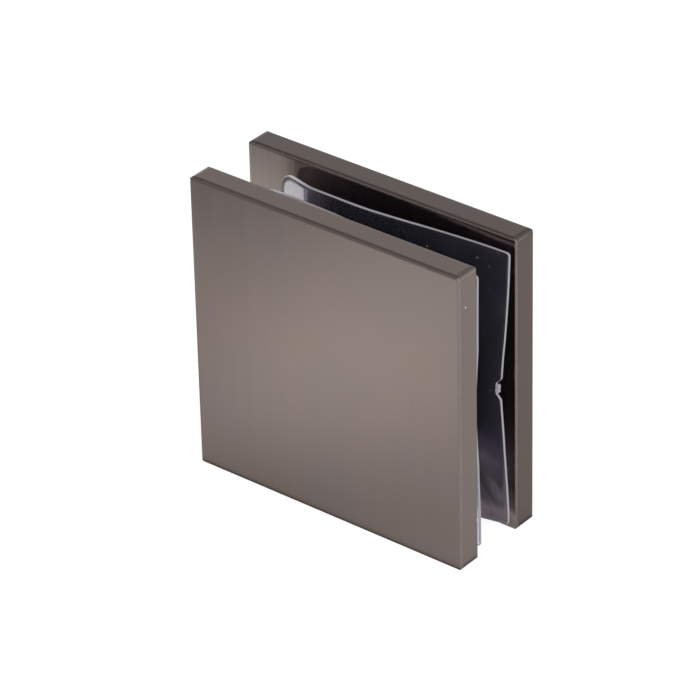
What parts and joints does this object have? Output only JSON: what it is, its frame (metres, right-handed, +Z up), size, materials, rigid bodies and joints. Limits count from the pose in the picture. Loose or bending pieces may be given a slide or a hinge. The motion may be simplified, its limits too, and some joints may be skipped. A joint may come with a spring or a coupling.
{
  "type": "glass u-clamp",
  "caption": "Square wall-mounted U-clamp for a fixed glass panel: dark bronze plates on a wall web, lined with clear gaskets and drawn together by a countersunk screw.",
  "frame": {"origin": "on the wall face, midway up the clamp and midway between its two plates", "axes": "+X out from the wall along the glass, +Y through the glass from the front plate to the back plate, +Z up the wall"},
  "size_m": [0.0508, 0.018, 0.0508],
  "materials": {
    "bronze": "dark bronze, satin brushed",
    "clear_vinyl": "clear, glossy, soft",
    "nylon": "natural nylon",
    "screw_bronze": "dark bronze plated steel"
  },
  "bodies": {
    "fixed_half": {"front_plate": "bronze", "front_gasket": "clear_vinyl", "glass_bush": "nylon"},
    "loose_half": {"back_plate": "bronze", "back_gasket": "clear_vinyl"},
    "screw": {"clamp_screw": "screw_bronze"}
  },
  "joints": [
    {"name": "plate_travel", "type": "slide", "parent": "fixed_half", "child": "loose_half", "axis": [0, 1, 0], "range_m": [-0.00045, 0.004]},
    {"name": "screw_turn", "type": "hinge", "parent": "loose_half", "child": "screw", "pos_m": [0.026, 0, 0], "axis": [0, 1, 0], "range_deg": [-162.5, 1440.5]}
  ],
  "couplings": [
    {"joint": "screw_turn", "follows": "plate_travel", "rad_per_m": 6283.2}
  ]
}
